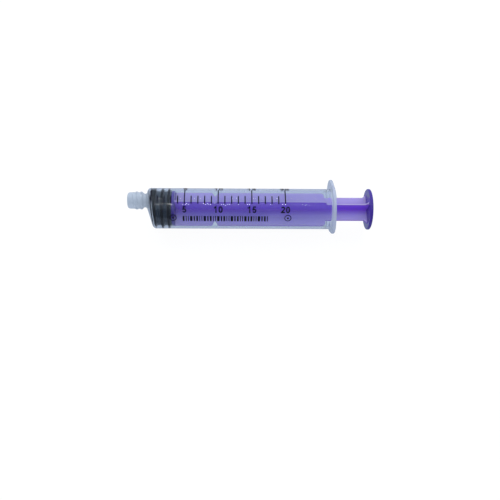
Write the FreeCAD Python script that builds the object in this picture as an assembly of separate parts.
import FreeCAD, Part

import math
import os

# A 20 ml enteral (oral feeding) syringe with an eccentric screw connector.
#
# Row frame, millimetres: +X runs along the barrel from the connector to the thumb rest, +Z is up and the
# finger flange's wings lie along Y. The origin is on the barrel's axis at the zero graduation line.
# The plunger is drawn fully pushed in, with the stopper's slanting nose against the front wall.

V = FreeCAD.Vector
X_AXIS = V(1, 0, 0)
ORIGIN = V(0, 0, 0)

# Capacity and bore: the graduation pitch follows from the bore's area.
capacity_ml = 20
bore_radius = 9.6
wall = 1.0
barrel_radius = bore_radius + wall
mm_per_ml = 1000.0 / (math.pi * bore_radius**2)

# Front wall: a shallow blunt cone about the connector's axis, with the same lean inside and outside.
cone_lean = 0.35
front_flat_radius = 2.5
inner_cone_apex_x = -3.7
front_wall = 1.05
outer_flat_round = 1.0
inner_flat_round = 0.6
outer_corner_round = 1.4
inner_corner_round = 0.5

# Finger flange: the hull of three circles. One wing reaches further than the other.
flange_front_x = 93.6
flange_thickness = 1.7
flange_rear_x = flange_front_x + flange_thickness
flange_core_radius = 12.4
wing_end_radius = 7.4
long_wing_centre_y = 10.0
short_wing_centre_y = -6.6
flange_root_round = 1.0
flange_edge_round = 0.5

# Retaining bead and lead-in at the open end of the bore.
bead_x = 91.1
bead_half_width = 0.7
bead_height = 0.25
mouth_flare = 0.45

# Screw connector, on its own axis beside the barrel's axis.
connector_offset_y = 4.9
connector_mouth_x = -13.4
connector_radius = 4.35
connector_mouth_round = 1.2
shoulder_start_x = -5.7
shoulder_end_x = -4.5
shoulder_round = 0.6
neck_radius = 3.55
neck_rear_x = -0.5
neck_root_round = 0.9
thread_crest_radius = 4.75
thread_lead = 5.0
thread_starts = 2
thread_front_x = -10.7
thread_rear_x = -5.3
thread_fade = 0.8
thread_run_out = 1.5
thread_root_width = 1.5
thread_crest_width = 0.6
thread_phase_deg = 54.0
socket_radius = 2.85
socket_depth = 7.5
socket_lead_in = 0.3
channel_radius = 1.5

# Stopper: three sealing rings on a thinner core, hollow behind for the plunger's head.
ring_clearance = 0.02
ring_radius = bore_radius - ring_clearance
core_radius = 8.95
front_ring_end_x = 2.45
front_ring_round = 0.7
rear_rings_x = ((4.9, 6.35), (8.3, 9.7))
stopper_rear_x = 10.3
nose_gap = 0.08
groove_round = 0.35
groove_root_round = 0.1
stopper_rear_round = 0.15
hollow_neck_radius = 3.9
hollow_lip_x = 8.1
hollow_lip_round = 0.3
hollow_radius = 5.4
hollow_floor_x = 3.3
hollow_floor_round = 0.8

# Plunger rod: a head that snaps into the stopper, a backing disc, four ribs and a thumb rest.
running_gap = 0.06
head_chamfer = 1.2
head_chamfer_length = 1.4
head_round = 0.3
head_lip_round = 0.2
backing_disc_radius = 9.25
backing_disc_thickness = 1.5
backing_disc_round = 0.3
rib_thickness = 1.3
rib_edge_thickness = 0.9
wide_rib_radius = 9.3
wide_rib_end_x = 90.5
narrow_rib_radius = 6.5
rib_corner_round = 1.6
rib_step_round = 0.5
rib_core_radius = 1.5
notch_x = 32.7
notch_half_width = 1.6
notch_depth = 2.7
notch_edge_round = 0.2
notch_root_round = 0.25
thumb_front_x = 112.9
thumb_thickness = 1.6
thumb_radius = 10.8
thumb_edge_round = 0.55
gusset_height = 1.8
gusset_round = 1.0
plunger_roll_deg = 11.0

# Printed scale, as thin ink on the barrel. Angles are turned from +Z towards +Y about the barrel's axis.
ink_gap = 0.004
ink_thickness = 0.045
stroke = 0.56
scale_base_deg = -20.3
# The zero line starts higher, where the slanting front corner has not yet fallen away under it.
zero_base_deg = -15.8
minor_top_deg = 4.0
major_top_deg = 31.0
numeral_height = 3.3
numeral_width = 2.1
numeral_space = 0.55
numeral_stroke = 0.62
lower_numerals_deg = -36.5
upper_numerals_deg = 44.5
band_deg = -63.0
band_start_x = 16.4
band_end_x = 60.0
band_height = 3.0
band_bar_widths = (0.9, 0.45, 0.45, 1.2, 0.7)
band_bar_gap = 0.65
round_mark_deg = -60.5
round_mark_xs = (11.5, 70.4)
round_mark_radius = 1.8
round_mark_dot_radius = 0.55

FULL_TURN = 360.0
# How far a piece reaches into its neighbour, so that the two join without a shared face.
OVERLAP = 0.5


def fillet_corner(before, corner, after, radius):
    """The two tangent points and the middle point of an arc that rounds one corner of an outline."""
    to_before = (before - corner).normalize()
    to_after = (after - corner).normalize()
    half_angle = to_before.getAngle(to_after) / 2
    run = radius / math.tan(half_angle)
    middle_way = (to_before + to_after).normalize()
    centre = corner + middle_way * (radius / math.sin(half_angle))
    middle = centre - middle_way * radius
    return corner + to_before * run, middle, corner + to_after * run


def rounded_wire(corners, place):
    """A closed wire through corners of (a, b) or (a, b, radius); place turns (a, b) into a point in space."""
    points = [place(c[0], c[1]) for c in corners]
    radii = [c[2] if len(c) > 2 else 0.0 for c in corners]
    stops = []
    arcs = []
    for i, point in enumerate(points):
        if radii[i]:
            start, middle, end = fillet_corner(points[i - 1], point, points[(i + 1) % len(points)], radii[i])
            stops.append((start, end))
            arcs.append(Part.Arc(start, middle, end).toShape())
        else:
            stops.append((point, point))
            arcs.append(None)
    edges = []
    for i, arc in enumerate(arcs):
        if arc:
            edges.append(arc)
        leave = stops[i][1]
        arrive = stops[(i + 1) % len(stops)][0]
        if leave.distanceToPoint(arrive) > 1e-6:
            edges.append(Part.makeLine(leave, arrive))
    return Part.Wire(Part.__sortEdges__(edges))


def lathe(corners, centre_y=0.0):
    """A solid turned about the line parallel to X through y = centre_y, from (x, radius) corners."""
    wire = rounded_wire(corners, lambda x, r: V(x, centre_y + r, 0))
    return Part.Face(wire).revolve(V(0, centre_y, 0), X_AXIS, FULL_TURN)


def rod(radius, x_start, x_end, centre_y=0.0):
    """A plain round rod along X."""
    return Part.makeCylinder(radius, x_end - x_start, V(x_start, centre_y, 0), X_AXIS)


def cone_x(apex_x, radius):
    """Where a front cone with this apex reaches a radius."""
    return apex_x + cone_lean * radius


def edges_where(shape, test):
    return [edge for edge in shape.Edges if test(edge)]


def at_x(edge, x):
    """Is the whole edge in the plane at this x?"""
    box = edge.BoundBox
    return abs(box.XMin - x) < 1e-4 and abs(box.XMax - x) < 1e-4


def is_circle(edge, radius):
    """Is this edge a circle, or part of one, of this radius?"""
    return isinstance(edge.Curve, Part.Circle) and abs(edge.Curve.Radius - radius) < 1e-4


# ---------------------------------------------------------------- barrel


def flange_outline():
    """The finger flange's outline in the plane x = flange_front_x, as a face."""
    wings = ((long_wing_centre_y, 1), (short_wing_centre_y, -1))
    edges = []
    core_ends = []
    for centre_y, side in wings:
        lean = math.asin((flange_core_radius - wing_end_radius) / abs(centre_y))
        for half in (1, -1):
            normal = V(0, side * math.sin(lean), half * math.cos(lean))
            on_core = V(flange_front_x, 0, 0) + normal * flange_core_radius
            on_wing = V(flange_front_x, centre_y, 0) + normal * wing_end_radius
            edges.append(Part.makeLine(on_core, on_wing))
            core_ends.append(on_core)
        tip = V(flange_front_x, centre_y + side * wing_end_radius, 0)
        mirrored = V(on_wing.x, on_wing.y, -on_wing.z)
        edges.append(Part.Arc(on_wing, tip, mirrored).toShape())
    for half, first, second in ((1, 0, 2), (-1, 1, 3)):
        crown = V(flange_front_x, 0, half * flange_core_radius)
        edges.append(Part.Arc(core_ends[first], crown, core_ends[second]).toShape())
    return Part.Face(Part.Wire(Part.__sortEdges__(edges)))


def front_cone(apex_x, rear_x, flat_round):
    """The space behind a blunt cone that opens rearwards from the connector's axis."""
    wide = 2 * barrel_radius
    flat_x = cone_x(apex_x, front_flat_radius)
    return lathe(
        [
            (flat_x, 0),
            (flat_x, front_flat_radius, flat_round),
            (cone_x(apex_x, wide), wide),
            (rear_x, wide),
            (rear_x, 0),
        ],
        connector_offset_y,
    )


def round_front_corner(body, radius, corner_round):
    """Rounds the slanting edge where a front cone cuts a cylinder of this radius."""

    def on_corner(edge):
        span = edge.LastParameter - edge.FirstParameter
        samples = [edge.valueAt(edge.FirstParameter + t * span) for t in (0.1, 0.5, 0.9)]
        on_cylinder = all(abs(math.hypot(p.y, p.z) - radius) < 1e-3 for p in samples)
        return on_cylinder and edge.BoundBox.XLength > 0.5 and not isinstance(edge.Curve, Part.Line)

    return body.makeFillet(corner_round, edges_where(body, on_corner))


def make_outer_barrel():
    """Tube, closed slanting front and finger flange, still solid inside."""
    outer_apex_x = inner_cone_apex_x - front_wall
    tube = rod(barrel_radius, outer_apex_x, flange_rear_x)
    tube = tube.common(front_cone(outer_apex_x, flange_rear_x + OVERLAP, outer_flat_round))
    tube = round_front_corner(tube, barrel_radius, outer_corner_round)
    flange = flange_outline().extrude(V(flange_thickness, 0, 0))
    rims = edges_where(flange, lambda e: at_x(e, flange_front_x) or at_x(e, flange_rear_x))
    flange = flange.makeFillet(flange_edge_round, rims)
    body = tube.fuse(flange).removeSplitter()
    roots = edges_where(body, lambda e: at_x(e, flange_front_x) and is_circle(e, barrel_radius))
    return body.makeFillet(flange_root_round, roots)


def make_neck():
    """The narrow stem between the front wall and the connector's threaded part."""
    return rod(neck_radius, shoulder_end_x - OVERLAP, neck_rear_x, connector_offset_y)


def round_neck_root(body):
    """Rounds the edge where the stem leaves the front wall."""
    axis_point = V(0, connector_offset_y, 0)

    def on_neck(edge):
        if edge.BoundBox.XMin < shoulder_end_x:
            return False
        samples = [edge.valueAt(edge.FirstParameter + t * (edge.LastParameter - edge.FirstParameter))
                   for t in (0.1, 0.5, 0.9)]
        return all(abs(V(0, p.y, p.z).distanceToPoint(axis_point) - neck_radius) < 1e-3 for p in samples)

    return body.makeFillet(neck_root_round, edges_where(body, on_neck))


def make_connector_body():
    """The plain turned part of the connector, which carries the thread."""
    return lathe(
        [
            (connector_mouth_x, 0),
            (connector_mouth_x, connector_radius, connector_mouth_round),
            (shoulder_start_x, connector_radius, shoulder_round),
            (shoulder_end_x, neck_radius - 0.01),
            (shoulder_end_x, 0),
        ],
        connector_offset_y,
    )


def make_thread():
    """Two right-handed helical ridges that fade into the connector at both ends."""
    length = thread_rear_x - thread_front_x
    root = connector_radius - 0.2
    helix = Part.makeHelix(thread_lead, length + 2 * thread_run_out, root)
    half_root = thread_root_width / 2
    half_crest = thread_crest_width / 2
    crest = thread_crest_radius
    profile = Part.makePolygon(
        [V(root, 0, -half_root), V(crest, 0, -half_crest), V(crest, 0, half_crest), V(root, 0, half_root),
         V(root, 0, -half_root)]
    )
    ridge = Part.Wire(helix).makePipeShell([profile], True, True)
    envelope = lathe(
        [
            (thread_front_x, 0),
            (thread_front_x, connector_radius - 0.1),
            (thread_front_x + thread_fade, crest),
            (thread_rear_x - thread_fade / 2, crest),
            (thread_rear_x, connector_radius - 0.1),
            (thread_rear_x, 0),
        ],
        connector_offset_y,
    )
    ridges = []
    for start in range(thread_starts):
        turned = ridge.copy()
        turned.rotate(ORIGIN, V(0, 0, 1), thread_phase_deg + start * FULL_TURN / thread_starts)
        turned.rotate(ORIGIN, V(0, 1, 0), 90)
        turned.translate(V(thread_front_x - thread_run_out, connector_offset_y, 0))
        ridges.append(turned.common(envelope))
    return ridges


def make_bore():
    """The space inside the barrel, with the retaining bead left standing and a flared mouth."""
    bead_radius = bore_radius - bead_height
    beyond = flange_rear_x + OVERLAP
    bore = lathe(
        [
            (inner_cone_apex_x, 0),
            (inner_cone_apex_x, bore_radius),
            (bead_x - bead_half_width, bore_radius),
            (bead_x, bead_radius, 0.5),
            (bead_x + bead_half_width, bore_radius),
            (flange_rear_x - 2 * mouth_flare, bore_radius),
            (flange_rear_x, bore_radius + mouth_flare),
            (beyond, bore_radius + mouth_flare),
            (beyond, 0),
        ]
    )
    bore = bore.common(front_cone(inner_cone_apex_x, beyond + OVERLAP, inner_flat_round))
    return round_front_corner(bore, bore_radius, inner_corner_round)


def make_fluid_path():
    """The connector's socket and the channel from its floor into the bore."""
    floor_x = connector_mouth_x + socket_depth
    socket = lathe(
        [
            (connector_mouth_x - OVERLAP, 0),
            (connector_mouth_x - OVERLAP, socket_radius + socket_lead_in),
            (connector_mouth_x, socket_radius + socket_lead_in),
            (connector_mouth_x + socket_lead_in, socket_radius),
            (floor_x, socket_radius),
            (floor_x, 0),
        ],
        connector_offset_y,
    )
    return socket.fuse(rod(channel_radius, floor_x - OVERLAP, 0.0, connector_offset_y))


def make_barrel():
    body = make_outer_barrel().fuse(make_neck())
    body = round_neck_root(body)
    body = body.fuse(make_connector_body())
    body = body.cut(make_bore())
    for ridge in make_thread():
        body = body.fuse(ridge)
    return body.cut(make_fluid_path())


# ---------------------------------------------------------------- stopper


def make_stopper():
    """Black rubber piston seal: cone nose, three rings and a blind socket for the plunger's head."""
    nose_apex_x = inner_cone_apex_x + nose_gap
    ramp = (ring_radius - core_radius) / 3
    corners = [
        (nose_apex_x, 0),
        (nose_apex_x, ring_radius),
        (front_ring_end_x, ring_radius, groove_round),
        (front_ring_end_x + ramp, core_radius, groove_root_round),
    ]
    for start, end in rear_rings_x:
        corners += [
            (start - ramp, core_radius, groove_root_round),
            (start, ring_radius, groove_round),
            (end, ring_radius, groove_round),
            (end + ramp, core_radius, groove_root_round),
        ]
    corners += [(stopper_rear_x, core_radius, stopper_rear_round), (stopper_rear_x, 0)]
    body = lathe(corners).common(front_cone(nose_apex_x, stopper_rear_x + OVERLAP, inner_flat_round))
    body = round_front_corner(body, ring_radius, front_ring_round)
    hollow = lathe(
        [
            (hollow_floor_x, 0),
            (hollow_floor_x, hollow_radius, hollow_floor_round),
            (hollow_lip_x, hollow_radius),
            (hollow_lip_x, hollow_neck_radius, hollow_lip_round),
            (stopper_rear_x + OVERLAP, hollow_neck_radius),
            (stopper_rear_x + OVERLAP, 0),
        ]
    )
    return body.cut(hollow)


# ---------------------------------------------------------------- plunger rod


def make_head_and_disc():
    """The head inside the stopper, its stem, and the disc that pushes on the stopper's back."""
    disc_x = stopper_rear_x + running_gap
    front_x = hollow_floor_x + running_gap
    lip_x = hollow_lip_x - running_gap
    head_radius = hollow_radius - running_gap
    stem_radius = hollow_neck_radius - running_gap
    return lathe(
        [
            (front_x, 0),
            (front_x, hollow_radius - head_chamfer),
            (front_x + head_chamfer_length, head_radius, head_round),
            (lip_x, head_radius, head_lip_round),
            (lip_x, stem_radius, head_lip_round),
            (disc_x, stem_radius),
            (disc_x, backing_disc_radius, backing_disc_round),
            (disc_x + backing_disc_thickness, backing_disc_radius, backing_disc_round),
            (disc_x + backing_disc_thickness, 0),
        ]
    )


def rib_side_outline():
    """One rib, seen from its side, as corners of (x, radius, round)."""
    front_x = stopper_rear_x + backing_disc_thickness / 2
    return [
        (front_x, 0),
        (front_x, wide_rib_radius),
        (notch_x - notch_half_width, wide_rib_radius, notch_edge_round),
        (notch_x, wide_rib_radius - notch_depth, notch_root_round),
        (notch_x + notch_half_width, wide_rib_radius, notch_edge_round),
        (wide_rib_end_x, wide_rib_radius, rib_corner_round),
        (wide_rib_end_x, narrow_rib_radius, rib_step_round),
        (thumb_front_x - gusset_height, narrow_rib_radius, gusset_round),
        (thumb_front_x + OVERLAP, narrow_rib_radius + gusset_height + OVERLAP),
        (thumb_front_x + OVERLAP, 0),
    ]


def make_rib(angle_deg):
    """A rib that thins slightly from the core to its edge, turned about the axis."""
    side = Part.Face(rounded_wire(rib_side_outline(), lambda x, r: V(x, 0, r)))
    slab = side.extrude(V(0, rib_thickness, 0))
    slab.translate(V(0, -rib_thickness / 2, 0))
    root = rib_thickness / 2
    edge = rib_edge_thickness / 2
    top = wide_rib_radius + gusset_height
    section = Part.makePolygon(
        [V(0, -root, 0), V(0, -root, rib_core_radius), V(0, -edge, top), V(0, edge, top),
         V(0, root, rib_core_radius), V(0, root, 0), V(0, -root, 0)]
    )
    taper = Part.Face(section).extrude(V(thumb_front_x + thumb_thickness, 0, 0))
    rib = slab.common(taper)
    rib.rotate(ORIGIN, X_AXIS, angle_deg)
    return rib


def make_thumb_rest():
    """The round, flat thumb rest."""
    rear_x = thumb_front_x + thumb_thickness
    return lathe(
        [
            (thumb_front_x, 0),
            (thumb_front_x, thumb_radius, thumb_edge_round),
            (rear_x, thumb_radius, thumb_edge_round),
            (rear_x, 0),
        ]
    )


def make_plunger():
    body = make_head_and_disc().fuse(rod(rib_core_radius, stopper_rear_x, thumb_front_x + OVERLAP))
    for quarter in range(4):
        body = body.fuse(make_rib(quarter * 90.0))
    body = body.fuse(make_thumb_rest()).removeSplitter()
    body.rotate(ORIGIN, X_AXIS, plunger_roll_deg)
    return body


# ---------------------------------------------------------------- printed scale


def ink_shell(x_start, x_end, from_deg, to_deg):
    """A thin patch of ink on the barrel between two planes and two angles."""
    inner = barrel_radius + ink_gap
    outer = inner + ink_thickness
    section = Part.Face(
        Part.makePolygon(
            [V(x_start, 0, inner), V(x_end, 0, inner), V(x_end, 0, outer), V(x_start, 0, outer),
             V(x_start, 0, inner)]
        )
    )
    # A turn from +Z towards +Y is a negative turn about +X.
    section.rotate(ORIGIN, X_AXIS, -from_deg)
    return section.revolve(ORIGIN, X_AXIS, -(to_deg - from_deg))


def drawn_on_barrel(plates, x_centre, angle_deg):
    """Flat shapes in a local (x, y) plane, pressed on to the barrel around one angle and cut to thin ink."""
    half_length = 2 * numeral_width
    half_height = numeral_height
    depth = 2.0
    inner = barrel_radius + ink_gap
    low_x = x_centre - half_length
    high_x = x_centre + half_length
    ring = rod(inner + ink_thickness, low_x, high_x).cut(rod(inner, low_x - OVERLAP, high_x + OVERLAP))
    corner = V(low_x, -half_height, inner - depth)
    patch = ring.common(Part.makeBox(2 * half_length, 2 * half_height, 2 * depth, corner))
    solids = []
    for plate in plates:
        block = plate.extrude(V(0, 0, 2 * depth))
        block.translate(V(x_centre, 0, inner - depth))
        piece = block.common(patch)
        piece.rotate(ORIGIN, X_AXIS, -angle_deg)
        solids += piece.Solids
    return solids


def polygon(points):
    corners = [V(x, y, 0) for x, y in points]
    return Part.Face(Part.makePolygon(corners + corners[:1]))


def rectangle(x0, y0, x1, y1):
    return polygon([(x0, y0), (x1, y0), (x1, y1), (x0, y1)])


def ring_sector(cx, cy, radius, from_deg, to_deg):
    """Part of a ring as wide as a numeral's stroke, with this outer radius, as a flat face."""

    def on(r, deg):
        a = math.radians(deg)
        return V(cx + r * math.cos(a), cy + r * math.sin(a), 0)

    middle = (from_deg + to_deg) / 2
    inner = radius - numeral_stroke
    edges = [
        Part.Arc(on(radius, from_deg), on(radius, middle), on(radius, to_deg)).toShape(),
        Part.makeLine(on(radius, to_deg), on(inner, to_deg)),
        Part.Arc(on(inner, to_deg), on(inner, middle), on(inner, from_deg)).toShape(),
        Part.makeLine(on(inner, from_deg), on(radius, from_deg)),
    ]
    return Part.Face(Part.Wire(edges))


def draw_zero():
    """Two straight sides and two round ends."""
    bowl = numeral_width / 2
    top = numeral_height - bowl
    faces = [ring_sector(bowl, top, bowl, 0, 180), ring_sector(bowl, bowl, bowl, 180, 360)]
    faces += [rectangle(x, bowl, x + numeral_stroke, top) for x in (0, numeral_width - numeral_stroke)]
    return faces


def draw_one():
    """A stem with a short flag at its top left."""
    stem_left = 0.45 * numeral_width
    stem_right = stem_left + numeral_stroke
    flag_left = stem_left - 1.4 * numeral_stroke
    flag_low = numeral_height - 2.0 * numeral_stroke
    flag = polygon(
        [
            (stem_right, numeral_height),
            (stem_left, flag_low + 0.7 * numeral_stroke),
            (flag_left, flag_low),
            (flag_left, flag_low + numeral_stroke),
            (stem_left, numeral_height),
        ]
    )
    return [rectangle(stem_left, 0, stem_right, numeral_height), flag]


def draw_two():
    """An open bowl, a slanting stroke and a base."""
    bowl = numeral_width / 2
    centre_y = numeral_height - bowl
    end_deg = -38.0
    start_deg = 172.0
    along = math.cos(math.radians(end_deg))
    down = math.sin(math.radians(end_deg))
    inner = bowl - numeral_stroke
    slant = polygon(
        [
            (bowl + bowl * along, centre_y + bowl * down),
            (bowl + inner * along, centre_y + inner * down),
            (0, 0.7 * numeral_stroke),
            (0, 0.2 * numeral_stroke),
            (1.4 * numeral_stroke, 0.9 * numeral_stroke),
        ]
    )
    base = rectangle(0, 0, numeral_width, numeral_stroke)
    return [ring_sector(bowl, centre_y, bowl, end_deg, start_deg), slant, base]


def draw_five():
    """A bowl open to the left, a short stem and a roof."""
    bowl = 0.51 * numeral_width
    start_deg = -162.0
    end_deg = 128.0
    stem_foot_left = 0.06 * numeral_width
    stem_left = 0.14 * numeral_width
    roof_right = 0.96 * numeral_width
    stem = polygon(
        [
            (stem_foot_left, 1.38 * bowl),
            (stem_left, numeral_height),
            (stem_left + numeral_stroke, numeral_height),
            (stem_foot_left + 1.1 * numeral_stroke, 1.62 * bowl),
        ]
    )
    roof = rectangle(stem_left, numeral_height - numeral_stroke, roof_right, numeral_height)
    return [ring_sector(bowl, bowl, bowl, start_deg, end_deg), stem, roof]


def numeral_face(character, left_x):
    """One numeral as a flat face, between y = -numeral_height / 2 and numeral_height / 2."""
    draw = {"0": draw_zero, "1": draw_one, "2": draw_two, "5": draw_five}[character]
    pieces = draw()
    face = pieces[0].fuse(pieces[1:]).removeSplitter()
    face.translate(V(left_x, -numeral_height / 2, 0))
    return face


def make_numerals(volume_ml, angle_deg):
    """The numerals of one volume, centred on their graduation line."""
    text = str(volume_ml)
    advance = numeral_width + numeral_space
    left_x = -(len(text) * advance - numeral_space) / 2
    faces = [numeral_face(character, left_x + index * advance) for index, character in enumerate(text)]
    return drawn_on_barrel(faces, volume_ml * mm_per_ml, angle_deg)


def make_round_mark(x):
    """A plain ring with a dot, used in place of the maker's symbols."""
    outer = Part.Face(Part.Wire(Part.makeCircle(round_mark_radius)))
    inner = Part.Face(Part.Wire(Part.makeCircle(round_mark_radius - stroke)))
    dot = Part.Face(Part.Wire(Part.makeCircle(round_mark_dot_radius)))
    return drawn_on_barrel([outer.cut(inner), dot], x, round_mark_deg)


def make_band():
    """A plain pattern of upright bars, used in place of the maker's line of text."""
    half_angle = math.degrees(band_height / 2 / barrel_radius)
    bars = []
    x = band_start_x
    index = 0
    while x < band_end_x:
        width = band_bar_widths[index % len(band_bar_widths)]
        bars.append(ink_shell(x, x + width, band_deg - half_angle, band_deg + half_angle))
        x += width + band_bar_gap
        index += 1
    return bars


def make_scale_print():
    solids = []
    for volume in range(capacity_ml + 1):
        major = volume % 5 == 0
        x = volume * mm_per_ml
        top = major_top_deg if major else minor_top_deg
        base = scale_base_deg if volume else zero_base_deg
        solids.append(ink_shell(x - stroke / 2, x + stroke / 2, base, top))
        if major and volume:
            solids += make_numerals(volume, lower_numerals_deg)
            solids += make_numerals(volume, upper_numerals_deg)
    for x in round_mark_xs:
        solids += make_round_mark(x)
    solids += make_band()
    return Part.makeCompound(solids)


def main():
    os.makedirs("parts", exist_ok=True)
    parts = {
        "barrel": make_barrel(),
        "stopper": make_stopper(),
        "plunger": make_plunger(),
        "scale_print": make_scale_print(),
    }
    for name, shape in parts.items():
        print(name, "solids", len(shape.Solids), "valid", shape.isValid(), "volume", round(shape.Volume, 1))
        shape.exportStep(f"parts/{name}.step")


main()
